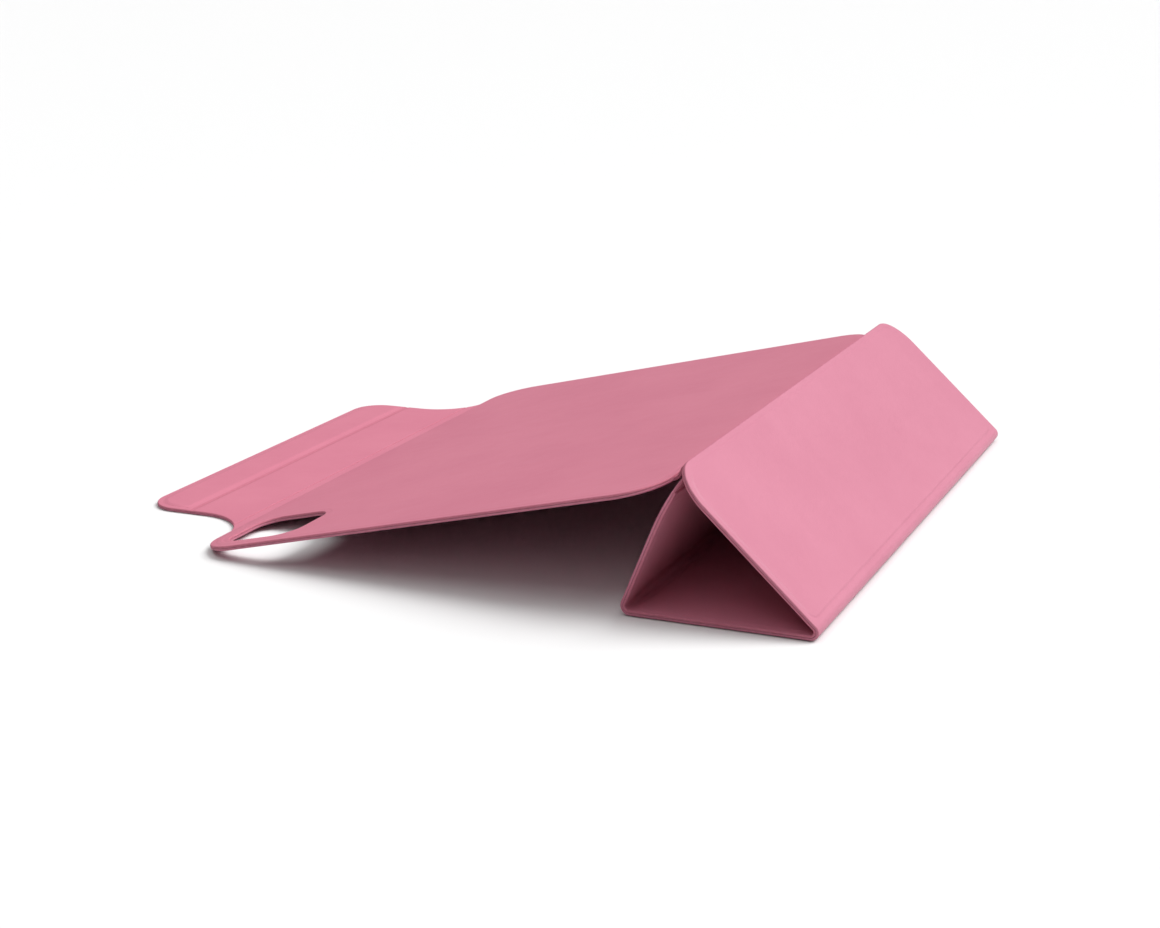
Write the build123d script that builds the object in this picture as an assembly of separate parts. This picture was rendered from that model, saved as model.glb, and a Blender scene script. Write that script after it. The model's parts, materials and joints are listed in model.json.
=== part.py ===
"""Magnetic tri-fold folio case for an 11-inch tablet, standing as a low drawing wedge.

+X runs from the clasp flap to the stand, +Y along the long edges, +Z up from the table.
Every sheet is laid out by walking along its middle surface: a station is a point (x, z)
on that surface and a heading in degrees. Beside the walk, n is the height above the middle
surface, positive on the lining side, and u is the distance walked.
"""
import math
import os

from build123d import *

os.makedirs("parts", exist_ok=True)

# Tablet that the case is made for
DEVICE_LENGTH = 247.6
DEVICE_WIDTH = 178.5
DEVICE_THICKNESS = 6.1

# Sheet stack
SKIN = 0.6
BOARD = 1.1
LINING = 0.5
SOFT = 1.4                 # skin and lining bonded with no board between them
PANEL = SKIN + BOARD + LINING
HALF = PANEL / 2

# Margins round the tablet and round each board
END_MARGIN = 1.2           # panel past the tablet's short edges
LOW_MARGIN = 1.0           # back panel past the tablet's edge on the flap side
SPINE_MARGIN = 0.5         # back panel past the tablet's edge on the spine side
RIM = 2.6                  # turned edge of the skin round each board
BOARD_FIT = 0.1            # gap between a board and the turned edge
LINING_INSET = 0.4         # lining edge inside the skin edge
COVER_GAP = 0.3            # closed cover above the tablet's glass
FLAP_GAP = 0.3             # closed flap above the closed cover
FREE_EDGE_INSET = 5.6      # closed cover stops short of the tablet's low edge

# Corner radii
BACK_CORNER = 16.0
COVER_CORNER = 15.0
FLAP_CORNER = 12.0
FLAP_FLARE = 22.0

# Camera opening in the back panel
CAMERA_SIZE = 30.0
CAMERA_CORNER = 8.5
CAMERA_INSET = 21.0        # its middle, from the tablet's two nearest edges
CAMERA_RIM = 1.6

# Widths along the walk
SPINE_CREASE = 2.4         # soft band at each edge of the spine
SPINE_LOWER = 2.2          # spine below its fold
TOP_FOLD = 4.9             # soft band where the spine is folded double
SPINE_SLACK = 2.5          # spine's spare width, which bulges when the case is closed
FRONT_1 = 39.6
FOLD_CREASE = 4.75         # soft bands between the three front panels
FRONT_2 = 59.7

# Stand pose
SPINE_FOLD = 178.0         # turn of the spine over its own fold
EDGE_LAP = 1.8             # front panel 3 past the top fold that it leans on
STAND_GAP = 0.3            # front panel 3 above that fold

# Clasp flap
FLAP_HALF = 84.0
FLAP_BASE_CREASE = 4.0
FLAP_INNER = 9.3
FLAP_WRAP_CREASE = 4.0
FLAP_OUTER = 10.3
FLAP_TIP_CREASE = 3.0
FLAP_TIP = 19.7
FLAP_EDGE_GAP = 0.4        # back panel's slanted edge to the flat flap

# Magnets and steel, sealed in openings through the boards
MAGNET_PLAY = 0.1
MAGNET_THICKNESS = BOARD - MAGNET_PLAY
HOLD_MAGNET = (6.0, 10.0)
HOLD_INSET = 22.0
HOLD_PITCH = 24.0
EDGE_MAGNET = (5.0, 14.0)
EDGE_INSET = 6.5
EDGE_PITCH = 32.0
CATCH_PLATE = (6.0, 70.0)
CATCH_INSET = 7.0
CATCH_PITCH = 90.0
CLASP_MAGNET = (7.0, 16.0)
CLASP_PITCH = 26.0

# Worked out from the values above
HALF_LENGTH = DEVICE_LENGTH / 2 + END_MARGIN
SPINE_HALF = HALF_LENGTH - BACK_CORNER
BACK_WIDTH = LOW_MARGIN + DEVICE_WIDTH + SPINE_MARGIN
CLOSED_HEIGHT = DEVICE_THICKNESS + COVER_GAP + PANEL
SPINE_UPPER = CLOSED_HEIGHT + SPINE_SLACK - SPINE_CREASE - SPINE_LOWER - TOP_FOLD
TOP_RUN = SPINE_UPPER + SPINE_CREASE
CLOSED_COVER = DEVICE_WIDTH + SPINE_MARGIN - FREE_EDGE_INSET
FRONT_3 = CLOSED_COVER - FRONT_1 - FRONT_2 - 2 * FOLD_CREASE
FOLD_RADIUS = TOP_FOLD / math.radians(SPINE_FOLD)


def advance(station, length, turn=0.0):
    """Walk a length while turning evenly, positive towards the lining."""
    x, z, heading = station
    half_turn = math.radians(turn) / 2
    chord = length if turn == 0 else length * math.sin(half_turn) / half_turn
    course = math.radians(heading) + half_turn
    return (x + chord * math.cos(course), z + chord * math.sin(course), heading + turn)


def beside(station, n):
    """Point (x, z) at a height above the middle surface."""
    x, z, heading = station
    angle = math.radians(heading)
    return (x - n * math.sin(angle), z + n * math.cos(angle))


def moved(station, dx, dz):
    return (station[0] + dx, station[1] + dz, station[2])


def pivot(rest, closed):
    """Hinge line (x, z) that carries a sheet from its rest station to another one."""
    reach = 2 * math.tan(math.radians(closed[2] - rest[2]) / 2)
    dx = closed[0] - rest[0]
    dz = closed[1] - rest[1]
    return ((rest[0] + closed[0]) / 2 - dz / reach, (rest[1] + closed[1]) / 2 + dx / reach)


def close_triangle():
    """Turns of the two front folds that bring front panel 3 onto the top fold."""
    lean_height = HALF + FOLD_RADIUS + SOFT - HALF + STAND_GAP
    fold_middle = beside(advance((0, 0, 0), -TOP_RUN), -FOLD_RADIUS)

    def miss(turn_1, turn_2):
        panel_2 = advance(advance((0, 0, 0), FRONT_1), FOLD_CREASE, turn_1)
        panel_3 = advance(advance(panel_2, FRONT_2), FOLD_CREASE, turn_2)
        foot = beside(advance(panel_3, FRONT_3 - EDGE_LAP), lean_height)
        return foot[0] - fold_middle[0], foot[1] - fold_middle[1]

    turn_1, turn_2, step = 112.0, 135.0, 0.01
    for _ in range(30):
        gap = miss(turn_1, turn_2)
        by_1 = [(b - a) / step for a, b in zip(gap, miss(turn_1 + step, turn_2))]
        by_2 = [(b - a) / step for a, b in zip(gap, miss(turn_1, turn_2 + step))]
        scale = by_1[0] * by_2[1] - by_2[0] * by_1[1]
        turn_1 -= (gap[0] * by_2[1] - gap[1] * by_2[0]) / scale
        turn_2 -= (gap[1] * by_1[0] - gap[0] * by_1[1]) / scale
    return turn_1, turn_2


def back_edge_from_stand(turn_1, tilt):
    """Back panel's spine edge as the stand carries it, with front panel 1's start at (0, 0)."""
    spine_heading = SPINE_FOLD - turn_1
    fold_end = advance((0, 0, -turn_1), -TOP_RUN)
    lower_end = advance(fold_end, -TOP_FOLD, SPINE_FOLD)
    lower_start = advance(lower_end, -SPINE_LOWER)
    return advance(lower_start, -SPINE_CREASE, tilt - spine_heading)


def solve_tilt(turn_1):
    """Tilt at which the back panel's low edge and front panel 2 both rest on the table."""
    drop = advance(advance((0, 0, -turn_1), FRONT_1), FOLD_CREASE, turn_1)[1]
    low, high = 0.0, 60.0
    for _ in range(50):
        tilt = (low + high) / 2
        carried = back_edge_from_stand(turn_1, tilt)[1] + HALF - drop
        angle = math.radians(tilt)
        if HALF * math.cos(angle) + BACK_WIDTH * math.sin(angle) < carried:
            low = tilt
        else:
            high = tilt
    return tilt


# Stations of every sheet in the stand pose, with the back panel's low corner at x = 0
FOLD_TURN_1, FOLD_TURN_2 = close_triangle()
TILT = solve_tilt(FOLD_TURN_1)
SPINE_HEADING = SPINE_FOLD - FOLD_TURN_1
BASE_TURN = SPINE_HEADING - TILT

low_corner = beside((0, 0, TILT), HALF)
back_raw = (low_corner[0], low_corner[1], TILT)
lower_raw = advance(advance(back_raw, BACK_WIDTH), SPINE_CREASE, BASE_TURN)
upper_raw = advance(advance(lower_raw, SPINE_LOWER), TOP_FOLD, -SPINE_FOLD)
front_1_raw = advance(upper_raw, TOP_RUN)
front_2_raw = advance(advance(front_1_raw, FRONT_1), FOLD_CREASE, FOLD_TURN_1)
front_3_raw = advance(advance(front_2_raw, FRONT_2), FOLD_CREASE, FOLD_TURN_2)

# The origin is midway between the flap's outer edge and the stand's outer fold
FLAP_REACH = (FLAP_BASE_CREASE + FLAP_INNER + FLAP_WRAP_CREASE + FLAP_OUTER
              + FLAP_TIP_CREASE + FLAP_TIP)
bend_radius = FOLD_CREASE / math.radians(FOLD_TURN_2) + HALF
stand_reach = advance(front_2_raw, FRONT_2)[0] + bend_radius
SHIFT = (FLAP_EDGE_GAP + FLAP_REACH - stand_reach) / 2

back = moved(back_raw, SHIFT, 0)
spine_lower = moved(lower_raw, SHIFT, 0)
spine_upper = moved(upper_raw, SHIFT, 0)
front_1 = moved(front_1_raw, SHIFT, 0)
front_2 = moved(front_2_raw, SHIFT, 0)
front_3 = moved(front_3_raw, SHIFT, 0)
flap_x = SHIFT - FLAP_EDGE_GAP


def sheet_plane(station):
    """Working plane whose x follows the walk and whose z is the lining side."""
    x, z, heading = station
    angle = math.radians(heading)
    along = (math.cos(angle), 0, math.sin(angle))
    up = (-math.sin(angle), 0, math.cos(angle))
    return Plane(origin=(x, 0, z), x_dir=along, z_dir=up)


def flap_plane():
    """Working plane of the flap, which walks towards -X flat on the table."""
    return Plane(origin=(flap_x, 0, HALF), x_dir=(-1, 0, 0), z_dir=(0, 0, 1))


def band(u_start, u_end, half):
    return Pos((u_start + u_end) / 2, 0) * Rectangle(u_end - u_start, 2 * half)


def rounded(face, at_u, radius):
    """Round the corners that a face has at one end of the walk."""
    corners = face.vertices().filter_by_position(Axis.X, at_u - 0.01, at_u + 0.01)
    return fillet(corners, radius)


def slab(plane, face, n_low, n_high):
    """Solid sheet over a face, between two heights beside the middle surface."""
    return plane * Pos(0, 0, n_low) * extrude(face, n_high - n_low)


def bars(size, middles, grow=0.0):
    """Set of equal rectangles, one at each middle (u, y)."""
    made = Sketch()
    for u, y in middles:
        made += Pos(u, y) * Rectangle(size[0] + grow, size[1] + grow)
    return made


def row(u, pitch, count):
    """Evenly pitched middles across the case, centred on it."""
    return [(u, pitch * (i - (count - 1) / 2)) for i in range(count)]


def write(name, shape):
    shape.label = name
    export_step(shape, f"parts/{name}.step")


def covered_board(name, plane, skin_face, lining_face, board_face, inserts=None):
    """Skin with a turned edge, the board inside it, its inserts and the lining on top."""
    pocket = slab(plane, offset(board_face, BOARD_FIT), SKIN - HALF, HALF - LINING)
    write(name + "_skin", slab(plane, skin_face, -HALF, HALF - LINING) - pocket)
    board = slab(plane, board_face, SKIN - HALF, HALF - LINING)
    for insert_name, (size, middles) in (inserts or {}).items():
        bottom = SKIN - HALF
        board -= slab(plane, bars(size, middles, 2 * MAGNET_PLAY), bottom, HALF - LINING)
        write(insert_name, slab(plane, bars(size, middles), bottom, bottom + MAGNET_THICKNESS))
    write(name + "_board", board)
    write(name + "_lining", slab(plane, lining_face, HALF - LINING, HALF))


def soft_band(name, plane, skin_face, lining_face):
    """Unboarded stretch: skin below, thin lining above."""
    write(name + "_skin", slab(plane, skin_face, -HALF, SKIN - HALF))
    write(name + "_lining", slab(plane, lining_face, SKIN - HALF, SOFT - HALF))


def bend(start, length, turn, half):
    """Soft band bent evenly round its fold."""
    middle = advance(start, length / 2, turn / 2)
    end = advance(start, length, turn)
    outer = [beside(s, -HALF) for s in (start, middle, end)]
    inner = [beside(s, SOFT - HALF) for s in (start, middle, end)]
    edges = [ThreePointArc(*outer), Line(outer[2], inner[2])]
    edges += [ThreePointArc(*inner), Line(inner[0], outer[0])]
    return extrude(Plane.XZ * make_face(Curve() + edges), half, both=True)


def back_faces():
    """Outlines of the back panel's skin, lining and board, with the camera opening."""
    camera_u = LOW_MARGIN + CAMERA_INSET
    camera_y = CAMERA_INSET - DEVICE_LENGTH / 2

    def outline(inset):
        plate = band(inset, BACK_WIDTH - inset, HALF_LENGTH - inset)
        return fillet(plate.vertices(), BACK_CORNER - inset)

    def opening(grow):
        side = CAMERA_SIZE + 2 * grow
        return Pos(camera_u, camera_y) * RectangleRounded(side, side, CAMERA_CORNER + grow)

    skin = outline(0) - opening(0)
    lining = outline(LINING_INSET) - opening(LINING_INSET)
    board = outline(RIM) - opening(CAMERA_RIM)
    return skin, lining, board


def make_back():
    skin, lining, board = back_faces()
    low_u = LOW_MARGIN + HOLD_INSET
    high_u = LOW_MARGIN + DEVICE_WIDTH - HOLD_INSET
    middles = row(low_u, HOLD_PITCH, 6) + row(high_u, HOLD_PITCH, 6)
    magnets = {"device_magnets": (HOLD_MAGNET, middles)}
    covered_board("back", sheet_plane(back), skin, lining, board, magnets)


def make_spine():
    """Spine's two unboarded halves, either side of its fold."""
    skin = band(0, SPINE_LOWER, SPINE_HALF)
    lining = band(0, SPINE_LOWER, SPINE_HALF - LINING_INSET)
    soft_band("spine_lower", sheet_plane(spine_lower), skin, lining)
    stretch = band(-TOP_RUN, -SPINE_CREASE, HALF_LENGTH)
    skin = front_1_outline(0) & stretch
    lining = front_1_outline(LINING_INSET) & stretch
    soft_band("spine_upper", sheet_plane(front_1), skin, lining)


def front_1_outline(inset):
    """Front panel 1 with the soft run above it, narrowing to the spine's length."""
    plate = band(inset - TOP_RUN, FRONT_1, HALF_LENGTH - inset)
    return rounded(plate, inset - TOP_RUN, BACK_CORNER - inset)


def make_front_1():
    whole = band(0, FRONT_1, HALF_LENGTH)
    boarded = band(RIM, FRONT_1 - RIM, HALF_LENGTH)
    skin = front_1_outline(0) & whole
    lining = front_1_outline(LINING_INSET) & whole
    board = front_1_outline(RIM) & boarded
    plates = {"stand_catch_plates": (CATCH_PLATE, row(CATCH_INSET, CATCH_PITCH, 2))}
    covered_board("front_1", sheet_plane(front_1), skin, lining, board, plates)


def make_front_2():
    skin = band(0, FRONT_2, HALF_LENGTH)
    lining = band(0, FRONT_2, HALF_LENGTH - LINING_INSET)
    board = band(RIM, FRONT_2 - RIM, HALF_LENGTH - RIM)
    covered_board("front_2", sheet_plane(front_2), skin, lining, board)


def front_3_outline(start, inset):
    plate = band(start, FRONT_3 - inset, HALF_LENGTH - inset)
    return rounded(plate, FRONT_3 - inset, COVER_CORNER - inset)


def make_front_3():
    skin = front_3_outline(0, 0)
    lining = front_3_outline(0, LINING_INSET)
    board = front_3_outline(RIM, RIM)
    magnets = {"cover_edge_magnets": (EDGE_MAGNET, row(FRONT_3 - EDGE_INSET, EDGE_PITCH, 6))}
    covered_board("front_3", sheet_plane(front_3), skin, lining, board, magnets)


def flap_outline(inset):
    """Whole flap from the back panel's edge, with flared roots and a rounded tip."""
    half = FLAP_HALF - inset
    plate = band(0, FLAP_REACH - inset, half)
    plate = rounded(plate, FLAP_REACH - inset, FLAP_CORNER - inset)
    for side in (-1, 1):
        root = Pos(FLAP_FLARE / 2, side * (half + FLAP_FLARE / 2))
        hollow = Pos(FLAP_FLARE, side * (half + FLAP_FLARE))
        plate += root * Rectangle(FLAP_FLARE, FLAP_FLARE) - hollow * Circle(FLAP_FLARE)
    return plate


def make_flap():
    """Clasp flap: two soft stretches that wrap the case's edge, and a stiff magnetic tip."""
    plane = flap_plane()
    reach = FLAP_HALF + FLAP_FLARE
    inner_end = FLAP_BASE_CREASE + FLAP_INNER
    outer_start = inner_end + FLAP_WRAP_CREASE
    outer_end = outer_start + FLAP_OUTER
    tip_start = outer_end + FLAP_TIP_CREASE
    skin = flap_outline(0)
    lining = flap_outline(LINING_INSET)

    for name, start, end in (("flap_base_crease", 0, FLAP_BASE_CREASE),
                             ("flap_wrap_crease", inner_end, outer_start),
                             ("flap_tip_crease", outer_end, tip_start)):
        write(name, slab(plane, skin & band(start, end, reach), -HALF, SOFT - HALF))
    for name, start, end in (("flap_inner", FLAP_BASE_CREASE, inner_end),
                             ("flap_outer", outer_start, outer_end)):
        cut = band(start, end, reach)
        soft_band(name, plane, skin & cut, lining & cut)

    tip = band(tip_start, FLAP_REACH, reach)
    board = flap_outline(RIM) & band(tip_start + RIM, FLAP_REACH, reach)
    middle_u = (tip_start + FLAP_REACH) / 2
    magnets = {"clasp_magnets": (CLASP_MAGNET, row(middle_u, CLASP_PITCH, 4))}
    covered_board("flap_tip", plane, skin & tip, lining & tip, board, magnets)
    return inner_end + FLAP_WRAP_CREASE / 2, outer_end + FLAP_TIP_CREASE / 2


def make_creases():
    back_edge = advance(back, BACK_WIDTH)
    write("spine_base_crease", bend(back_edge, SPINE_CREASE, BASE_TURN, SPINE_HALF))
    lower_end = advance(spine_lower, SPINE_LOWER)
    write("spine_fold_crease", bend(lower_end, TOP_FOLD, -SPINE_FOLD, SPINE_HALF))
    front = front_1_outline(0) & band(-SPINE_CREASE, 0, HALF_LENGTH)
    write("spine_front_crease", slab(sheet_plane(front_1), front, -HALF, SOFT - HALF))
    fold_1 = bend(advance(front_1, FRONT_1), FOLD_CREASE, FOLD_TURN_1, HALF_LENGTH)
    write("front_fold_1_crease", fold_1)
    fold_2 = bend(advance(front_2, FRONT_2), FOLD_CREASE, FOLD_TURN_2, HALF_LENGTH)
    write("front_fold_2_crease", fold_2)


def over_back(point):
    """Height of a point (x, z) over the back panel's middle surface."""
    angle = math.radians(TILT)
    return (point[1] - back[1]) * math.cos(angle) - (point[0] - back[0]) * math.sin(angle)


def spine_hinges():
    """Spine's three hinge lines and the travels that stand it up round the tablet's edge."""
    back_edge = advance(back, BACK_WIDTH)
    lower_end = advance(spine_lower, SPINE_LOWER)
    base = advance(back_edge, SPINE_CREASE / 2, BASE_TURN / 2)
    middle = advance(lower_end, TOP_FOLD / 2, -SPINE_FOLD / 2)
    front = advance(front_1, -SPINE_CREASE / 2)
    lower = math.hypot(middle[0] - base[0], middle[1] - base[1])
    upper = math.hypot(front[0] - middle[0], front[1] - middle[1])
    lean = math.degrees(math.acos((CLOSED_HEIGHT - over_back(base)) / (lower + upper)))
    lower_rest = math.degrees(math.atan2(middle[1] - base[1], middle[0] - base[0])) - TILT
    upper_rest = math.degrees(math.atan2(front[1] - middle[1], front[0] - middle[0])) - TILT
    by_base = 90 - lean - lower_rest
    by_middle = 90 + lean - upper_rest - by_base
    by_front = 180 - (front_1[2] - TILT) - by_base - by_middle
    return [("spine_base", base[:2], by_base), ("spine_middle", middle[:2], by_middle),
            ("spine_front", front[:2], by_front)]


def front_hinges():
    """Hinge lines of the two front folds, which open flat."""
    flat_front_2 = advance(advance(front_1, FRONT_1), FOLD_CREASE)
    flat_front_3 = advance(advance(front_2, FRONT_2), FOLD_CREASE)
    return [("front_fold_1", pivot(front_2, flat_front_2), FOLD_TURN_1),
            ("front_fold_2", pivot(front_3, flat_front_3), FOLD_TURN_2)]


def flap_hinges(wrap_u, tip_u):
    """Hinge lines of the flap, which wraps the closed case's edge and ends on the cover."""
    base_u = FLAP_BASE_CREASE / 2
    soft_middle = SOFT / 2
    base = (flap_x - base_u, soft_middle)
    climb = CLOSED_HEIGHT + FLAP_GAP + PANEL + HALF - soft_middle - over_back(base)
    rise = math.degrees(math.asin(climb / (tip_u - base_u)))
    return [("flap_base", base, rise - TILT),
            ("flap_wrap", (flap_x - wrap_u, soft_middle), 180 - 2 * rise),
            ("flap_tip_fold", (flap_x - tip_u, soft_middle), rise)]


make_back()
make_spine()
make_front_1()
make_front_2()
make_front_3()
make_creases()
hinge_u = make_flap()
for name, (x, z), travel in spine_hinges() + front_hinges() + flap_hinges(*hinge_u):
    print(f"hinge {name}: x {x:.3f} z {z:.3f} mm, closes by {travel:.2f} degrees")
print(f"tilt {TILT:.2f}, folds {FOLD_TURN_1:.2f} and {FOLD_TURN_2:.2f} degrees")
print(f"front panel 3 {FRONT_3:.2f} mm, top run {TOP_RUN:.2f} mm, shift {SHIFT:.2f} mm")
for label, station in (("back", back), ("spine_lower", spine_lower),
                       ("spine_upper", spine_upper), ("front_1", front_1),
                       ("front_2", front_2), ("front_3", front_3)):
    print(f"{label}: x {station[0]:.3f} z {station[1]:.3f} heading {station[2]:.3f}")
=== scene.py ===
# %% [markdown]
# # A folio case for a tablet, standing as a low drawing wedge
# The mechanical model is loaded first and never changed. It is drawn as plain solids, so this
# lesson makes the leather and lining that cover it: two thin plies on every panel, meeting in a
# fine seam at the edge, and soft bands that bend where the case folds.

# %% Load the frame
import json
import math

import bmesh
import bpy
from mathutils import Matrix, Vector


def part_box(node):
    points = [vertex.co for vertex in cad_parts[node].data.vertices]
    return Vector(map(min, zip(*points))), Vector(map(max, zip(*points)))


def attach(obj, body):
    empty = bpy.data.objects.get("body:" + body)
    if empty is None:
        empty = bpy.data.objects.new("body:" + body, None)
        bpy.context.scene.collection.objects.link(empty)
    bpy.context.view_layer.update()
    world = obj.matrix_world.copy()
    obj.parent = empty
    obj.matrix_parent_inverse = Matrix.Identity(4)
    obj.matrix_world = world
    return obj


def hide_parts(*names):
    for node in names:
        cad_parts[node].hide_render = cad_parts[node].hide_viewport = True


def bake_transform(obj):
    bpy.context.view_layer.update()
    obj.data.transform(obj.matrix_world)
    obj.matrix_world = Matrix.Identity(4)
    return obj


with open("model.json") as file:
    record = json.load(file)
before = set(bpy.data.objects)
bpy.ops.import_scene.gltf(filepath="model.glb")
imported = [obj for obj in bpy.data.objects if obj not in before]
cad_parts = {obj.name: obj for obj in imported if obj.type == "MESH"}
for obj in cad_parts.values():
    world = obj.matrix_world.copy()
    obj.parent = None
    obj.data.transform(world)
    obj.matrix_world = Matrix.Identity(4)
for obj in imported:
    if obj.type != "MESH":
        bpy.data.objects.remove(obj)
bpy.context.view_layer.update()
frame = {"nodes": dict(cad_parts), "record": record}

# %% [markdown]
# ## Camera, floor and light
# The camera stands a little to the right of the case's near end and looks slightly down, so the
# end of the folded stand is in full view. A pale floor and one wide, soft light from the upper
# right, with a dim sky behind it, make a plain product studio.

# %% Camera
MM = 0.001
CAMERA_PLACE = (0.3023, -0.6605, 0.2167)
CAMERA_AZIMUTH = math.radians(24.29)
CAMERA_PITCH = math.radians(15.94)
CAMERA_ROLL = math.radians(-0.966)
CAMERA_LENS = 60.35

turn_round = Matrix.Rotation(CAMERA_AZIMUTH, 4, "Z")
look_down = Matrix.Rotation(math.pi / 2 - CAMERA_PITCH, 4, "X")
roll_over = Matrix.Rotation(CAMERA_ROLL, 4, "Z")
camera = bpy.data.objects.new("camera", bpy.data.cameras.new("camera"))
camera.data.lens = CAMERA_LENS
camera.matrix_world = Matrix.Translation(CAMERA_PLACE) @ turn_round @ look_down @ roll_over
bpy.context.scene.collection.objects.link(camera)
bpy.context.scene.camera = camera
print("camera looks along", [round(c, 3) for c in -camera.matrix_world.col[2].xyz])

# %% Floor and light
FLOOR_SIZE = 12.0


def deselect_all():
    bpy.ops.object.select_all(action="DESELECT")


def soft_sun(name, strength, softness, lean_x, lean_y):
    """Sun shining down, leaning from +X and +Y by angles in degrees."""
    sun = bpy.data.objects.new(name, bpy.data.lights.new(name, "SUN"))
    sun.data.energy = strength
    sun.data.angle = math.radians(softness)
    sun.rotation_euler = (math.radians(-lean_y), math.radians(lean_x), 0)
    bpy.context.scene.collection.objects.link(sun)
    return sun


deselect_all()
bpy.ops.mesh.primitive_plane_add(size=FLOOR_SIZE, location=(0, 0, 0))
floor = bpy.context.object
floor.name = "floor"
floor_paint = bpy.data.materials.new("pale floor")
floor_paint.use_nodes = True
floor_shader = floor_paint.node_tree.nodes["Principled BSDF"]
floor_shader.inputs["Base Color"].default_value = (0.76, 0.76, 0.76, 1)
floor_shader.inputs["Roughness"].default_value = 0.7
floor_shader.inputs["Specular IOR Level"].default_value = 0.15
floor.data.materials.append(floor_paint)

soft_sun("key light", 3.45, 40, 36, 20)
soft_sun("top light", 1.42, 70, -6, 0)
soft_sun("front light", 0.42, 50, 8, -52)
sky = bpy.data.worlds.new("studio")
sky.use_nodes = True
sky.node_tree.nodes["Background"].inputs["Color"].default_value = (1, 1, 1, 1)
sky.node_tree.nodes["Background"].inputs["Strength"].default_value = 0.02
bpy.context.scene.world = sky
bpy.context.scene.view_settings.view_transform = "Standard"
print("floor", FLOOR_SIZE, "m wide, three soft suns")

# %% [markdown]
# ## Finishes
# Both sides are thin synthetic leather in one pink. The outer skin is smooth, with a grain so
# fine that it mostly softens the shine. The lining is a brushed microfibre: duller, a little
# redder, with a faint nap. Small colour changes over a few centimetres, and a slightly deeper
# tone along worn edges, keep them from looking like paint. Patterns read Object coordinates, so
# they run on across every seam.

# %% Shader helpers
def new_finish(name):
    finish = bpy.data.materials.new(name)
    finish.use_nodes = True
    nodes, links = finish.node_tree.nodes, finish.node_tree.links
    return finish, nodes, links, nodes["Principled BSDF"]


def noise(nodes, links, place, scale, detail=2.0, roughness=0.5):
    texture = nodes.new("ShaderNodeTexNoise")
    texture.inputs["Scale"].default_value = scale
    texture.inputs["Detail"].default_value = detail
    texture.inputs["Roughness"].default_value = roughness
    links.new(place, texture.inputs["Vector"])
    return texture.outputs["Fac"]


def remap(nodes, links, value, low, high, new_low, new_high):
    ramp = nodes.new("ShaderNodeMapRange")
    for name, number in (("From Min", low), ("From Max", high), ("To Min", new_low), ("To Max", new_high)):
        ramp.inputs[name].default_value = number
    links.new(value, ramp.inputs["Value"])
    return ramp.outputs["Result"]


def mix_colours(nodes, links, factor, first, second):
    mix = nodes.new("ShaderNodeMix")
    mix.data_type = "RGBA"
    links.new(factor, mix.inputs["Factor"])
    for socket, colour in ((mix.inputs["A"], first), (mix.inputs["B"], second)):
        if isinstance(colour, tuple):
            socket.default_value = (*colour, 1)
        else:
            links.new(colour, socket)
    return mix.outputs["Result"]


def add_bump(nodes, links, height, distance, below=None):
    bump = nodes.new("ShaderNodeBump")
    bump.inputs["Strength"].default_value = 1.0
    bump.inputs["Distance"].default_value = distance
    links.new(height, bump.inputs["Height"])
    if below is not None:
        links.new(below, bump.inputs["Normal"])
    return bump.outputs["Normal"]


# %% Outer leather and lining
def leather_finish(name, light, deep, edge, roughness, grain_size, grain_depth, sheen):
    """Thin synthetic leather: two tones, a darker worn edge, fine grain and a slow unevenness."""
    finish, nodes, links, shader = new_finish(name)
    place = nodes.new("ShaderNodeTexCoord").outputs["Object"]
    cloud = remap(nodes, links, noise(nodes, links, place, 28, 3), 0.35, 0.65, 0, 1)
    colour = mix_colours(nodes, links, cloud, light, deep)
    worn = nodes.new("ShaderNodeAttribute")
    worn.attribute_name = "edge_wear"
    scuffs = remap(nodes, links, noise(nodes, links, place, 900, 3), 0.4, 0.7, 0.55, 1)
    wear = nodes.new("ShaderNodeMath")
    wear.operation = "MULTIPLY"
    links.new(worn.outputs["Fac"], wear.inputs[0])
    links.new(scuffs, wear.inputs[1])
    colour = mix_colours(nodes, links, wear.outputs["Value"], colour, edge)
    links.new(colour, shader.inputs["Base Color"])
    patches = noise(nodes, links, place, 160, 4)
    mottled = remap(nodes, links, patches, 0.3, 0.7, roughness - 0.04, roughness + 0.05)
    links.new(mottled, shader.inputs["Roughness"])
    pebbles = nodes.new("ShaderNodeTexVoronoi")
    pebbles.feature = "SMOOTH_F1"
    pebbles.inputs["Scale"].default_value = 1 / (grain_size * MM)
    links.new(place, pebbles.inputs["Vector"])
    uneven = add_bump(nodes, links, noise(nodes, links, place, 45, 2), 0.25 * MM)
    fine = add_bump(nodes, links, pebbles.outputs["Distance"], grain_depth * MM, uneven)
    links.new(fine, shader.inputs["Normal"])
    shader.inputs["Specular IOR Level"].default_value = 0.3
    shader.inputs["Sheen Weight"].default_value = sheen
    shader.inputs["Sheen Roughness"].default_value = 0.4
    shader.inputs["Sheen Tint"].default_value = (1.0, 0.78, 0.84, 1)
    return finish


skin_leather = leather_finish("pink leather",
                              (0.535, 0.193, 0.270), (0.515, 0.181, 0.256), (0.46, 0.138, 0.20),
                              0.55, 0.55, 0.035, 0.02)
lining_suede = leather_finish("pink microfibre",
                              (0.545, 0.178, 0.246), (0.525, 0.166, 0.234), (0.46, 0.13, 0.185),
                              0.75, 0.28, 0.03, 0.06)
print("finishes:", skin_leather.name, "and", lining_suede.name)

# %% [markdown]
# ## Reading the frame
# Each panel of the frame is flat, but stands at its own angle. Its biggest face gives the angle,
# and its corners give its length. That makes a small workbench: X runs along the walk from the
# clasp side, Y along the fold, and Z towards the lining. A piece is modelled on the flat bench,
# then carried to its place in one move.

# %% Benches
ALONG_FOLD = Vector((0, 1, 0))


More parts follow.
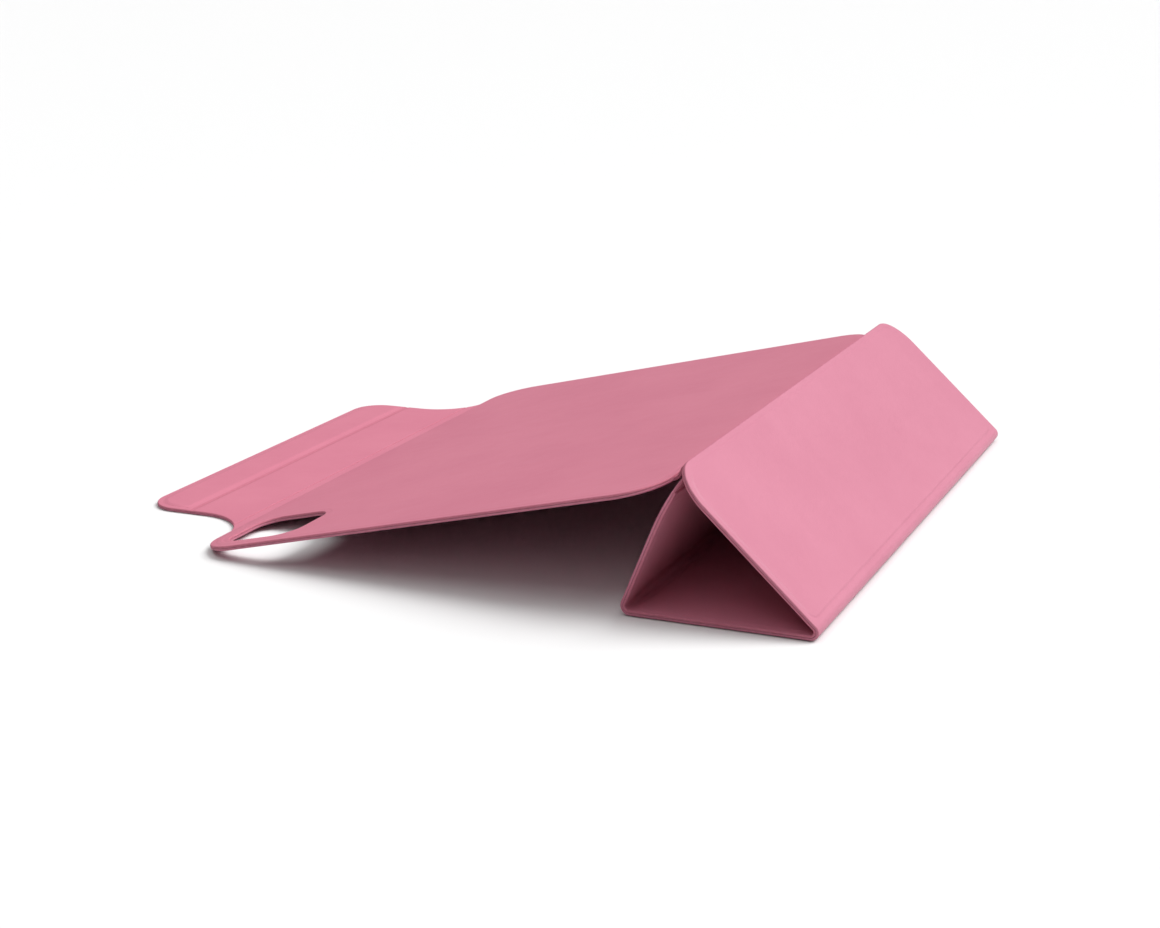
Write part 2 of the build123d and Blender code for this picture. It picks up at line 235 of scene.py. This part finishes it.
def face_direction(node):
    """Direction of a flat node's biggest faces."""
    areas = {}
    for face in frame["nodes"][node].data.polygons:
        key = tuple(round(abs(c), 2) for c in face.normal)
        areas.setdefault(key, [0.0, face.normal.copy()])[0] += face.area
    return max(areas.values(), key=lambda found: found[0])[1].normalized()


def corners(node):
    return [v.co for v in frame["nodes"][node].data.vertices]


def middle(node):
    low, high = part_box(node)
    return (low + high) / 2


class Bench:
    """A flat sheet's own axes: where it starts, which way it walks, and how long it is."""

    def __init__(self, skin, lining):
        up = face_direction(skin)
        if (middle(lining) - middle(skin)).dot(up) < 0:
            up = -up
        along = ALONG_FOLD.cross(up)
        reach = [c.dot(along) for c in corners(skin)]
        self.bottom = min(c.dot(up) for c in corners(skin))
        self.top = max(c.dot(up) for c in corners(lining))
        self.length = max(reach) - min(reach)
        self.half = max(c.y for c in corners(skin))
        self.up = up
        self.along = along
        self.start = along * min(reach) + up * self.bottom

    def matrix(self, n_bottom):
        """Placing matrix for a flat piece whose outer face was drawn at Z = n_bottom."""
        turn = Matrix((self.along, ALONG_FOLD, self.up)).transposed().to_4x4()
        return Matrix.Translation(self.start - self.up * n_bottom) @ turn

    def heading(self):
        return math.atan2(self.along.z, self.along.x)


back = Bench("back_skin", "back_lining")
spine_lower = Bench("spine_lower_skin", "spine_lower_lining")
spine_upper = Bench("spine_upper_skin", "spine_upper_lining")
front_1 = Bench("front_1_skin", "front_1_lining")
front_2 = Bench("front_2_skin", "front_2_lining")
front_3 = Bench("front_3_skin", "front_3_lining")
PANEL = back.top - back.bottom
SOFT = spine_lower.top - spine_lower.bottom
HALF = PANEL / 2
HALF_LENGTH = back.half
SPINE_HALF = spine_lower.half
for name, bench in (("back", back), ("front 1", front_1), ("front 2", front_2), ("front 3", front_3)):
    print(f"{name}: {bench.length / MM:.1f} mm wide, heading {math.degrees(bench.heading()):.1f} degrees")

# %% [markdown]
# ## Working on a sheet by hand
# A sheet starts as a plane. Its free corners are rounded by a vertex bevel, it is extruded into a
# thin ply, and its sharp edges are bevelled, as a cut edge of leather is after it has been dyed
# and pressed. Two inset steps then raise the middle, where a stiff board fills the sheet. An inset
# follows any outline, so one helper serves every panel.

# %% Edit-mode helpers
CLOSE = 0.02 * MM
LEVEL = 0.002 * MM


def edit(piece):
    deselect_all()
    bpy.context.view_layer.objects.active = piece
    piece.select_set(True)
    bpy.ops.object.mode_set(mode="EDIT")


def leave_edit():
    bpy.ops.object.mode_set(mode="OBJECT")


def choose(piece, kind, test):
    """Select the vertices, edges or faces of the piece being edited that pass a test."""
    bpy.ops.mesh.select_mode(type=kind)
    bpy.ops.mesh.select_all(action="DESELECT")
    sheet = bmesh.from_edit_mesh(piece.data)
    group = {"VERT": sheet.verts, "EDGE": sheet.edges, "FACE": sheet.faces}[kind]
    for part in group:
        if test(part):
            part.select_set(True)
    bmesh.update_edit_mesh(piece.data)
    return sum(part.select for part in group)


def shift_selected(value):
    bpy.ops.transform.translate(value=value)


def extrude_selected(value):
    bpy.ops.mesh.extrude_region_move(TRANSFORM_OT_translate={"value": value})


def at_height(z):
    """Test for a level face at a height."""
    def test(face):
        return abs(face.normal.z) > 0.9 and all(abs(v.co.z - z) < LEVEL for v in face.verts)
    return test


def flat_outline(name, u_start, u_end, half, rounded_ends=(), radius=0.0, keep=None, steps=20):
    """Plane for a sheet, with the corners at some ends rounded, in edit mode at Z = 0."""
    deselect_all()
    bpy.ops.mesh.primitive_plane_add(size=1, location=(0, 0, 0))
    piece = bpy.context.object
    piece.name = name
    piece.data.name = name
    edit(piece)
    bpy.ops.mesh.select_all(action="SELECT")
    bpy.ops.transform.resize(value=(u_end - u_start, 2 * half, 1))
    shift_selected(((u_start + u_end) / 2, 0, 0))
    if rounded_ends:
        choose(piece, "VERT", lambda v: any(abs(v.co.x - u) < CLOSE for u in rounded_ends))
        bpy.ops.mesh.bevel(affect="VERTICES", offset=radius, segments=steps, profile=0.5)
    if keep:
        trim(keep)
    return piece


def trim(keep):
    """Cut away everything outside two places on the walk, closing the cuts."""
    for place, side in ((keep[0], "inner"), (keep[1], "outer")):
        bpy.ops.mesh.select_all(action="SELECT")
        bpy.ops.mesh.bisect(plane_co=(place, 0, 0), plane_no=(1, 0, 0), use_fill=True,
                            clear_inner=side == "inner", clear_outer=side == "outer")


def slice_up(keep, count):
    """Cut extra lines across a crease, so that it can bend."""
    for step in range(1, count):
        bpy.ops.mesh.select_all(action="SELECT")
        place = keep[0] + (keep[1] - keep[0]) * step / count
        bpy.ops.mesh.bisect(plane_co=(place, 0, 0), plane_no=(1, 0, 0))


def on_cut(edge, cuts):
    return any(all(abs(v.co.x - cut) < CLOSE for v in edge.verts) for cut in cuts)


def round_edges(piece, z, size, segments, cuts):
    """Bevel the outline's edges at a height, leaving the ends that join another piece."""
    found = choose(piece, "EDGE", lambda e: all(abs(v.co.z - z) < CLOSE for v in e.verts)
                   and not on_cut(e, cuts) and e.calc_face_angle(0) > 1)
    if found:
        bpy.ops.mesh.bevel(offset=size, offset_type="OFFSET", segments=segments, profile=0.5)


# %% Plies
EDGE_ROUND = 0.50 * MM      # cut edge of each ply, outside
SEAM_ROUND = 0.14 * MM      # cut edge of each ply, at the seam
EDGE_STEPS = 6
SEAM_STEPS = 2
SEAM = 0.10 * MM            # seam between the plies, over the middle of a boarded sheet
SEAM_GAP = 0.06 * MM
RIM = 1.4 * MM              # flat rim, from the rounded edge to the foot of the raised board
SKIN_RISE = 0.28 * MM       # how far the board lifts the skin over its rim
LINING_RISE = 0.14 * MM
RISE_WIDTH = 1.1 * MM
RISE_STEPS = 5
BOARD_CORNER = 4.0 * MM     # board's corners beside a fold
POCKET_INSET = 2.3 * MM
BOARD_LOW = -0.5 * MM       # board's two faces, beside the middle of the sheet
BOARD_HIGH = 0.6 * MM


def thicken(z_in, z_out):
    """Give the outline being edited its thickness, from the seam to its outer face."""
    bpy.ops.mesh.select_all(action="SELECT")
    shift_selected((0, 0, z_in))
    extrude_selected((0, 0, z_out - z_in))
    bpy.ops.mesh.select_all(action="SELECT")
    bpy.ops.mesh.normals_make_consistent(inside=False)


def round_both(piece, z_in, z_out, cuts):
    round_edges(piece, z_out, EDGE_ROUND, EDGE_STEPS, cuts)
    round_edges(piece, z_in, SEAM_ROUND, SEAM_STEPS, cuts)


def biggest_face(piece, z):
    """Area of the largest level face at a height."""
    sheet = bmesh.from_edit_mesh(piece.data)
    return max(f.calc_area() for f in sheet.faces if at_height(z)(f))


def soften_corners(piece, z, places, radius):
    """Round the inset face's corners beside a fold, and leave that face selected."""
    def slanting(edge):
        first, last = (v.co for v in edge.verts)
        beside = any(abs(c.x - u) < CLOSE for c in (first, last) for u in places)
        level = abs(first.z - z) < LEVEL and abs(last.z - z) < LEVEL
        return beside and level and abs(abs(first.x - last.x) - RIM) < CLOSE

    area = biggest_face(piece, z) * 0.9
    choose(piece, "FACE", lambda f: at_height(z)(f) and f.calc_area() < area)
    bpy.ops.mesh.bisect(plane_co=(0, 0, 0), plane_no=(0, 1, 0))
    choose(piece, "EDGE", slanting)
    bpy.ops.mesh.dissolve_edges(use_verts=False)
    choose(piece, "VERT", lambda v: abs(v.co.z - z) < LEVEL and abs(v.co.y) > CLOSE
           and any(abs(v.co.x - u) < CLOSE for u in places))
    bpy.ops.mesh.bevel(affect="VERTICES", offset=radius, segments=10, profile=0.5)
    choose(piece, "FACE", lambda f: at_height(z)(f) and f.calc_area() > area)


def raise_board(piece, z, rise, folds=(), width=RISE_WIDTH):
    """Inset a ply's outer face and lift the middle in a soft S-shaped step."""
    bpy.ops.mesh.inset(thickness=RIM, depth=0)
    if folds:
        soften_corners(piece, z, folds, BOARD_CORNER)
    last = 0.0
    for step in range(1, RISE_STEPS + 1):
        share = step / RISE_STEPS
        height = rise * share * share * (3 - 2 * share)
        bpy.ops.mesh.inset(thickness=width / RISE_STEPS, depth=0)
        shift_selected((0, 0, math.copysign(height - last, z)))
        last = height


def sink_pocket(piece, z_in, z_pocket):
    """Hollow a ply's inner face where the board lies."""
    choose(piece, "FACE", at_height(z_in))
    bpy.ops.mesh.inset(thickness=POCKET_INSET, depth=0)
    extrude_selected((0, 0, z_pocket - z_in))


def mark_wear(piece, z_in, z_out):
    """Note which points lie on the worn, rounded edge, while the piece is still on the bench."""
    wear = piece.data.attributes.new("edge_wear", "FLOAT", "POINT")
    low, high = sorted((z_in, z_out))
    for vertex in piece.data.vertices:
        rounded_edge = low - CLOSE < vertex.co.z < high - CLOSE
        if z_out < z_in:
            rounded_edge = low + CLOSE < vertex.co.z < high + CLOSE
        wear.data[vertex.index].value = 0.8 if rounded_edge else 0.0


def smooth_shading(piece, broad=True):
    """Smooth the rounded edges; on a boarded piece the normals keep the broad faces flat."""
    bpy.ops.object.shade_smooth_by_angle(angle=math.radians(36))
    if not broad:
        return
    weighted = piece.modifiers.new("weighted normals", "WEIGHTED_NORMAL")
    weighted.keep_sharp = True
    weighted.weight = 90
    bpy.ops.object.modifier_apply(modifier=weighted.name)


def finish_ply(piece, finish, matrix, z_in, z_out, broad=True):
    """Close the mesh, smooth it, note its worn edge and carry it to its place."""
    bpy.ops.mesh.select_mode(type="VERT")
    bpy.ops.mesh.select_all(action="SELECT")
    bpy.ops.mesh.remove_doubles(threshold=0.001 * MM)
    bpy.ops.mesh.normals_make_consistent(inside=False)
    leave_edit()
    smooth_shading(piece, broad)
    mark_wear(piece, z_in, z_out)
    piece.data.materials.append(finish)
    piece.data.transform(matrix)
    piece.data.update()
    return piece


print("plies:", round(PANEL / MM, 2), "mm over a board and", round(SOFT / MM, 2), "mm without one")

# %% [markdown]
# ## Boarded panels
# The back panel and the three front panels are one kind of thing: a skin ply below, a lining ply
# above, a seam between them, and a pocket for the board. Only the outline differs. Where a panel
# runs into a fold its edge is left square, so that the fold's band meets it flush.

# %% Panel maker
def make_ply(name, outline, side, folds, finish, matrix, opening=None, fold_corners=()):
    """One ply of a boarded panel: side is -1 for the skin and +1 for the lining."""
    z_in = SEAM + side * SEAM_GAP / 2
    rise = SKIN_RISE if side < 0 else LINING_RISE
    z_out = side * (HALF - rise)
    piece = outline(name)
    thicken(z_in, z_out)
    if opening:
        cut_opening(piece, opening)
    round_both(piece, z_in, z_out, folds)
    choose(piece, "FACE", at_height(z_out))
    raise_board(piece, z_out, rise, fold_corners)
    sink_pocket(piece, z_in, BOARD_LOW if side < 0 else BOARD_HIGH)
    return finish_ply(piece, finish, matrix, z_in, z_out)


def make_panel(label, outline, bench, body, nodes, folds=(), opening=None):
    """Both plies of a boarded panel, riding on its body in place of its soft solids."""
    fold_corners = [u + RIM if u < bench.length / 2 else u - RIM for u in folds]
    matrix = bench.matrix(-HALF)
    for suffix, side, finish, slot, node in (("_outer", -1, skin_leather, "outer_skin", nodes[0]),
                                             ("_inner", 1, lining_suede, "lining", nodes[1])):
        ply = make_ply(label + suffix, outline, side, folds, finish, matrix, opening, fold_corners)
        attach(ply, body)
        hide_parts(node)
        print(ply.name, len(ply.data.vertices), "points")


def cut_opening(piece, opening):
    """Cut a rounded square hole through a ply with a boolean, on a line cut across it first."""
    u, y, size, radius = opening
    bpy.ops.mesh.select_all(action="SELECT")
    bpy.ops.mesh.bisect(plane_co=(u, 0, 0), plane_no=(1, 0, 0))
    leave_edit()
    cutter = flat_outline("cutter", u - size / 2, u + size / 2, size / 2)
    bpy.ops.mesh.select_all(action="SELECT")
    bpy.ops.mesh.select_mode(type="VERT")
    bpy.ops.mesh.bevel(affect="VERTICES", offset=radius, segments=12, profile=0.5)
    bpy.ops.mesh.select_all(action="SELECT")
    shift_selected((0, y, -2 * PANEL))
    extrude_selected((0, 0, 4 * PANEL))
    bpy.ops.mesh.select_all(action="SELECT")
    bpy.ops.mesh.normals_make_consistent(inside=False)
    leave_edit()
    deselect_all()
    bpy.context.view_layer.objects.active = piece
    hole = piece.modifiers.new("camera opening", "BOOLEAN")
    hole.object = cutter
    hole.operation = "DIFFERENCE"
    hole.solver = "EXACT"
    bpy.ops.object.modifier_apply(modifier=hole.name)
    bpy.data.objects.remove(cutter)
    edit(piece)


# %% Back panel and front panels
BACK_CORNER = 16.0 * MM
COVER_CORNER = 15.0 * MM
CAMERA_SIZE = 30.0 * MM
CAMERA_CORNER = 8.5 * MM
SPINE_END_STEPS = 11        # leaves a long enough piece of arc beside the spine for the rim

openings = {opening["name"]: opening["box_m"] for opening in frame["record"]["physics"]["openings"]}
opening_box = openings["camera_opening"]
opening_middle = (Vector(opening_box[0]) + Vector(opening_box[1])) / 2
camera_u = (opening_middle - back.start).dot(back.along)
camera_opening = (camera_u, opening_middle.y, CAMERA_SIZE, CAMERA_CORNER)
top_run = (front_1.start - spine_upper.start).dot(front_1.along)


def back_outline(name):
    return flat_outline(name, 0, back.length, HALF_LENGTH, (0, back.length), BACK_CORNER)


def front_1_outline(name):
    return flat_outline(name, -top_run, front_1.length, HALF_LENGTH, (-top_run,), BACK_CORNER,
                        (0, front_1.length + MM), SPINE_END_STEPS)


def front_2_outline(name):
    return flat_outline(name, 0, front_2.length, HALF_LENGTH)


def front_3_outline(name):
    return flat_outline(name, 0, front_3.length, HALF_LENGTH, (front_3.length,), COVER_CORNER)


make_panel("back_panel", back_outline, back, "back_panel", ("back_skin", "back_lining"),
           opening=camera_opening)
make_panel("front_1", front_1_outline, front_1, "front_panel_1", ("front_1_skin", "front_1_lining"),
           folds=(front_1.length,))
make_panel("front_2", front_2_outline, front_2, "front_panel_2", ("front_2_skin", "front_2_lining"),
           folds=(0, front_2.length))
make_panel("front_3", front_3_outline, front_3, "front_panel_3", ("front_3_skin", "front_3_lining"),
           folds=(0,))

# %% [markdown]
# ## Folds and spine
# Between two panels the cover is only its two plies, bent round. A fold is the panel's own edge
# profile spun about the fold's centre, which the two neighbouring benches give: how far they
# turn, and how far apart they stand.

# %% Fold maker
SPIN_STEP = math.radians(4)


def profile(name, half, z_in, z_out, matrix):
    """A ply's cross-section, standing across the walk, with rounded outer and seam corners."""
    thick = abs(z_out - z_in)
    outer_round = min(EDGE_ROUND, 0.6 * thick)
    seam_round = min(SEAM_ROUND, 0.2 * thick)
    piece = flat_outline(name, min(z_in, z_out), max(z_in, z_out), half)
    choose(piece, "VERT", lambda v: abs(v.co.x - z_out) < CLOSE)
    bpy.ops.mesh.bevel(affect="VERTICES", offset=outer_round, segments=EDGE_STEPS, profile=0.5)
    choose(piece, "VERT", lambda v: abs(v.co.x - z_in) < CLOSE)
    bpy.ops.mesh.bevel(affect="VERTICES", offset=seam_round, segments=SEAM_STEPS, profile=0.5)
    leave_edit()
    stand_up = Matrix.Rotation(-math.pi / 2, 4, "Y")
    piece.data.transform(matrix @ stand_up)
    edit(piece)
    bpy.ops.mesh.select_all(action="SELECT")
    return piece


def station(bench, u, n=0.0):
    """Point beside a bench's middle surface."""
    return bench.start + bench.along * u + bench.up * (HALF + n)


def standing(bench, u):
    """Placing matrix for a profile at a point of a bench's walk."""
    turn = Matrix((bench.along, ALONG_FOLD, bench.up)).transposed().to_4x4()
    return Matrix.Translation(station(bench, u)) @ turn


def spin_between(first, second):
    """Spin the selected profile from the end of one bench to the start of the next."""
    turn = second.heading() - first.heading()
    turn = (turn + math.pi) % (2 * math.pi) - math.pi
    start, end = station(first, first.length), station(second, 0)
    radius = (end - start).length / (2 * math.sin(abs(turn) / 2))
    centre = start + first.up * math.copysign(radius, turn)
    steps = max(6, round(abs(turn) / SPIN_STEP))
    bpy.ops.mesh.spin(steps=steps, angle=abs(turn), center=centre,
                      axis=(0, math.copysign(1, turn), 0))
    return turn, radius


def selected_middle(piece):
    chosen = [v.co for v in bmesh.from_edit_mesh(piece.data).verts if v.select]
    return sum(chosen, Vector()) / len(chosen)


def wear_by_side(piece, half):
    """Mark a band's two worn edges, which are its near and far ends."""
    wear = piece.data.attributes.new("edge_wear", "FLOAT", "POINT")
    for vertex in piece.data.vertices:
        wear.data[vertex.index].value = 0.8 if abs(vertex.co.y) > half - EDGE_ROUND * 0.9 else 0.0


def finish_band(piece, finish, half):
    bpy.ops.mesh.select_mode(type="VERT")
    bpy.ops.mesh.select_all(action="SELECT")
    bpy.ops.mesh.remove_doubles(threshold=0.001 * MM)
    bpy.ops.mesh.normals_make_consistent(inside=False)
    leave_edit()
    smooth_shading(piece, broad=False)
    wear_by_side(piece, half)
    piece.data.materials.append(finish)
    return piece


def make_fold(label, node, first, second, half, z_skin, z_seam, z_lining, tuck=0.0):
    """Two bent plies, spun from the end of one bench to the start of the next."""
    for suffix, side, finish, slot in (("_outer", -1, skin_leather, "outer_skin"),
                                       ("_inner", 1, lining_suede, "lining")):
        z_in = z_seam + side * SEAM_GAP / 2
        z_out = z_skin if side < 0 else z_lining
        band = profile(label + suffix, half, z_in, z_out, standing(first, first.length - tuck))
        if tuck:
            extrude_selected(first.along * tuck)
        turn, radius = spin_between(first, second)
        missed = (selected_middle(band) - station(second, 0, (z_in + z_out) / 2)).length
        finish_band(band, finish, half)
        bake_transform(band)
        if side < 0:
            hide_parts(node)
        print(f"{band.name}: {math.degrees(turn):.1f} degrees, radius {radius / MM:.2f} mm, "
              f"missed by {missed / MM:.3f} mm")


# %% Front folds
SKIN_FACE = SKIN_RISE - HALF
LINING_FACE = HALF - LINING_RISE
make_fold("front_fold_1", "front_fold_1_crease", front_1, front_2,
          HALF_LENGTH, SKIN_FACE, SEAM, LINING_FACE)
make_fold("front_fold_2", "front_fold_2_crease", front_2, front_3,
          HALF_LENGTH, SKIN_FACE, SEAM, LINING_FACE)

# %% [markdown]
# ## The spine
# The spine has no board. It leaves the back panel's seam, climbs, and is folded double with its
# skin inside, so that its top makes a narrow rounded ridge. Its last stretch widens along the
# front panel's rounded corners.

# %% Spine
BAND_SKIN = 0.32 * MM - HALF
BAND_SEAM = -0.28 * MM
BAND_LINING = SOFT - HALF
TUCK = 0.6 * MM             # how far a soft band runs into a boarded edge

make_fold("spine_base", "spine_base_crease", back, spine_lower,
          SPINE_HALF, BAND_SKIN, BAND_SEAM, BAND_LINING, TUCK)
make_fold("spine_fold", "spine_fold_crease", spine_lower, spine_upper,
          SPINE_HALF, BAND_SKIN, BAND_SEAM, BAND_LINING)


def make_straight_band(label, nodes, body, bench, half):
    """Unboarded stretch: its profile simply extruded along the walk."""
    for suffix, side, finish, slot in (("_outer", -1, skin_leather, "outer_skin"),
                                       ("_inner", 1, lining_suede, "lining")):
        z_in = BAND_SEAM + side * SEAM_GAP / 2
        z_out = BAND_SKIN if side < 0 else BAND_LINING
        band = profile(label + suffix, half, z_in, z_out, standing(bench, 0))
        extrude_selected(bench.along * bench.length)
        finish_band(band, finish, half)
        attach(band, body)
        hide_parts(nodes[0] if side < 0 else nodes[1])
        print(band.name, "is", round(bench.length / MM, 2), "mm long")


make_straight_band("spine_lower", ("spine_lower_skin", "spine_lower_lining"), "spine_lower",
                   spine_lower, SPINE_HALF)


def widening_outline(keep):
    """Outline of the soft stretch that widens along the front panel's rounded corners."""
    def outline(name):
        return flat_outline(name, -top_run, front_1.length, HALF_LENGTH, (-top_run,), BACK_CORNER,
                            keep, SPINE_END_STEPS)
    return outline


def make_widening_band(label, keep, side, finish, slices=0):
    z_in = BAND_SEAM + side * SEAM_GAP / 2
    z_out = BAND_SKIN if side < 0 else BAND_LINING
    band = widening_outline(keep)(label)
    thicken(z_in, z_out)
    round_edges(band, z_out, 0.3 * MM, 4, keep)
    slice_up(keep, slices)
    return finish_ply(band, finish, front_1.matrix(-HALF), z_in, z_out, broad=False)


upper_reach = (-top_run, spine_upper.length - top_run)
front_reach = (upper_reach[1], TUCK)
for suffix, side, finish, slot in (("_outer", -1, skin_leather, "outer_skin"),
                                   ("_inner", 1, lining_suede, "lining")):
    upper = make_widening_band("spine_upper" + suffix, upper_reach, side, finish)
    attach(upper, "spine_upper")
    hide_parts("spine_upper_skin" if side < 0 else "spine_upper_lining")
    crease = make_widening_band("spine_front" + suffix, front_reach, side, finish, slices=20)
    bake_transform(crease)
    if side < 0:
        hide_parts("spine_front_crease")
    print(upper.name, "and", crease.name)

# %% [markdown]
# ## The clasp flap
# The flap lies flat, lining side up. Its root flares out with two hollow curves, so that it does
# not tear where it leaves the panel, and its tip is rounded. Only the tip has a board. The other
# five stretches are soft, and three of them are creases: at the root, where the flap wraps the
# closed case's edge, and behind the tip.

# %% Flap outline
FLAP_HALF = max(c.y for c in corners("flap_tip_skin"))
FLAP_REACH_X = min(c.x for c in corners("flap_tip_skin"))
FLAP_ROOT_X = max(c.x for c in corners("flap_base_crease"))
FLAP_REACH = FLAP_ROOT_X - FLAP_REACH_X
FLAP_FLARE = max(c.y for c in corners("flap_base_crease")) - FLAP_HALF
FLAP_CORNER = 12.0 * MM
FLAP_SKIN = 0.12 * MM - HALF
FLAP_SEAM = -0.26 * MM
FLAP_LINING = 0.50 * MM
TIP_RISE = 0.46 * MM
TIP_RISE_WIDTH = 2.4 * MM
VALLEY = 0.16 * MM
flap_matrix = Matrix.Translation((FLAP_ROOT_X, 0, HALF)) @ Matrix.Rotation(math.pi, 4, "Z")


def flap_outline(name, keep):
    """Whole flap with flared roots and a rounded tip, cut down to one stretch of the walk."""
    piece = flat_outline(name, -2 * FLAP_FLARE, FLAP_REACH, FLAP_HALF)
    bpy.ops.mesh.select_all(action="SELECT")
    bpy.ops.mesh.bisect(plane_co=(0, 0, 0), plane_no=(1, 0, 0))
    for side in (-1, 1):
        choose(piece, "EDGE", lambda e: all(v.co.x < CLOSE and v.co.y * side > FLAP_HALF - CLOSE
                                            for v in e.verts))
        extrude_selected((0, side * (FLAP_FLARE + 0.2 * MM), 0))
    bpy.ops.mesh.select_mode(type="FACE")
    bpy.ops.mesh.select_all(action="SELECT")
    bpy.ops.mesh.dissolve_faces()
    choose(piece, "VERT", lambda v: abs(v.co.x) < CLOSE and abs(abs(v.co.y) - FLAP_HALF) < CLOSE)
    bpy.ops.mesh.bevel(affect="VERTICES", offset=FLAP_FLARE, segments=28, profile=0.5)
    choose(piece, "VERT", lambda v: v.co.x > FLAP_REACH - CLOSE)
    bpy.ops.mesh.bevel(affect="VERTICES", offset=FLAP_CORNER, segments=20, profile=0.5)
    trim(keep)
    return piece


def press_valley(piece, keep, z_out):
    """Press a shallow valley along a crease's upper face."""
    bpy.ops.mesh.select_mode(type="VERT")
    sheet = bmesh.from_edit_mesh(piece.data)
    places = sorted({round(v.co.x, 6) for v in sheet.verts})
    for place in places:
        share = (place - keep[0]) / (keep[1] - keep[0])
        depth = VALLEY * math.sin(math.pi * share) ** 2
        choose(piece, "VERT", lambda v: abs(v.co.x - place) < 2e-6 and v.co.z > z_out - EDGE_ROUND)
        shift_selected((0, 0, -depth))


# %% Flap pieces
def flap_ply(name, side, keep, finish, slices=0, board=False, valley=False):
    z_in = FLAP_SEAM + side * SEAM_GAP / 2
    z_out = FLAP_SKIN if side < 0 else FLAP_LINING
    drawn = (keep[0] - RIM, keep[1]) if board else keep
    piece = flap_outline(name, drawn)
    thicken(z_in, z_out)
    round_both(piece, z_in, z_out, drawn[:1] if board else drawn)
    if board:
        rise, width = (0.12 * MM, 1.3 * MM) if side < 0 else (TIP_RISE, TIP_RISE_WIDTH)
        choose(piece, "FACE", at_height(z_out))
        raise_board(piece, z_out, rise, width=width)
        sink_pocket(piece, z_in, BOARD_LOW if side < 0 else BOARD_HIGH)
        trim((keep[0], keep[1] + MM))
    slice_up(keep, slices)
    if valley and side > 0:
        press_valley(piece, keep, z_out)
    return finish_ply(piece, finish, flap_matrix, z_in, z_out)


def flap_stretch(node):
    """Where one node of the flap starts and ends on the flap's own walk."""
    low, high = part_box(node)
    return (FLAP_ROOT_X - high.x, FLAP_ROOT_X - low.x)


def make_flap_stretch(label, nodes, body, slices=0, board=False, bodies=None):
    """Both plies of one stretch, riding on a body, or fixed in place where it lies between two."""
    keep = flap_stretch(nodes[0])
    if label == "flap_base":
        keep = (-0.9 * MM, keep[1])
    valley = label == "flap_tip_fold"
    for suffix, side, finish, slot in (("_outer", -1, skin_leather, "outer_skin"),
                                       ("_inner", 1, lining_suede, "lining")):
        ply = flap_ply(label + suffix, side, keep, finish, slices, board, valley)
        if bodies:
            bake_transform(ply)
        else:
            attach(ply, body)
        if side < 0:
            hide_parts(nodes[0])
        elif len(nodes) > 1:
            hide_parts(nodes[1])
    print(label, "from", round(keep[0] / MM, 1), "to", round(keep[1] / MM, 1), "mm,",
          len(ply.data.vertices), "points in its lining")


make_flap_stretch("flap_base", ("flap_base_crease",), None, slices=6, bodies=("back_panel", "flap_inner"))
make_flap_stretch("flap_inner", ("flap_inner_skin", "flap_inner_lining"), "flap_inner")
make_flap_stretch("flap_wrap", ("flap_wrap_crease",), None, slices=20, bodies=("flap_inner", "flap_outer"))
make_flap_stretch("flap_outer", ("flap_outer_skin", "flap_outer_lining"), "flap_outer")
make_flap_stretch("flap_tip_fold", ("flap_tip_crease",), None, slices=10, bodies=("flap_outer", "flap_tip"))
make_flap_stretch("flap_tip", ("flap_tip_skin", "flap_tip_lining"), "flap_tip", board=True)

# %% [markdown]
# ## What is sealed inside
# The boards, magnets and steel plates keep their mechanical shapes, since the real ones are cut
# just as plainly. They are never seen in use, but a swung or cut-away view can reach them.

# %% Materials of the hidden pieces
def fibre_board():
    finish, nodes, links, shader = new_finish("grey fibre board")
    place = nodes.new("ShaderNodeTexCoord").outputs["Object"]
    flecks = remap(nodes, links, noise(nodes, links, place, 1400, 5, 0.7), 0.35, 0.65, 0, 1)
    colour = mix_colours(nodes, links, flecks, (0.16, 0.15, 0.14), (0.24, 0.225, 0.205))
    links.new(colour, shader.inputs["Base Color"])
    links.new(add_bump(nodes, links, flecks, 0.02 * MM), shader.inputs["Normal"])
    shader.inputs["Roughness"].default_value = 0.85
    return finish


def bright_metal(name, colour, roughness):
    finish, nodes, links, shader = new_finish(name)
    place = nodes.new("ShaderNodeTexCoord").outputs["Object"]
    stretched = nodes.new("ShaderNodeMapping")
    stretched.inputs["Scale"].default_value = (1, 0.05, 1)
    links.new(place, stretched.inputs["Vector"])
    streaks = noise(nodes, links, stretched.outputs["Vector"], 2500, 3)
    links.new(remap(nodes, links, streaks, 0.3, 0.7, roughness - 0.06, roughness + 0.08),
              shader.inputs["Roughness"])
    shader.inputs["Base Color"].default_value = (*colour, 1)
    shader.inputs["Metallic"].default_value = 1.0
    return finish


board_finish = fibre_board()
magnet_finish = bright_metal("nickel plate", (0.62, 0.60, 0.56), 0.28)
plate_finish = bright_metal("rolled steel", (0.46, 0.46, 0.47), 0.42)
hidden = {"back_board": board_finish, "front_1_board": board_finish, "front_2_board": board_finish,
          "front_3_board": board_finish, "flap_tip_board": board_finish,
          "device_magnets": magnet_finish, "cover_edge_magnets": magnet_finish,
          "clasp_magnets": magnet_finish, "stand_catch_plates": plate_finish}
for name, finish in hidden.items():
    mesh = frame["nodes"][name].data
    mesh.materials.clear()
    mesh.materials.append(finish)
print("hidden pieces:", ", ".join(hidden))
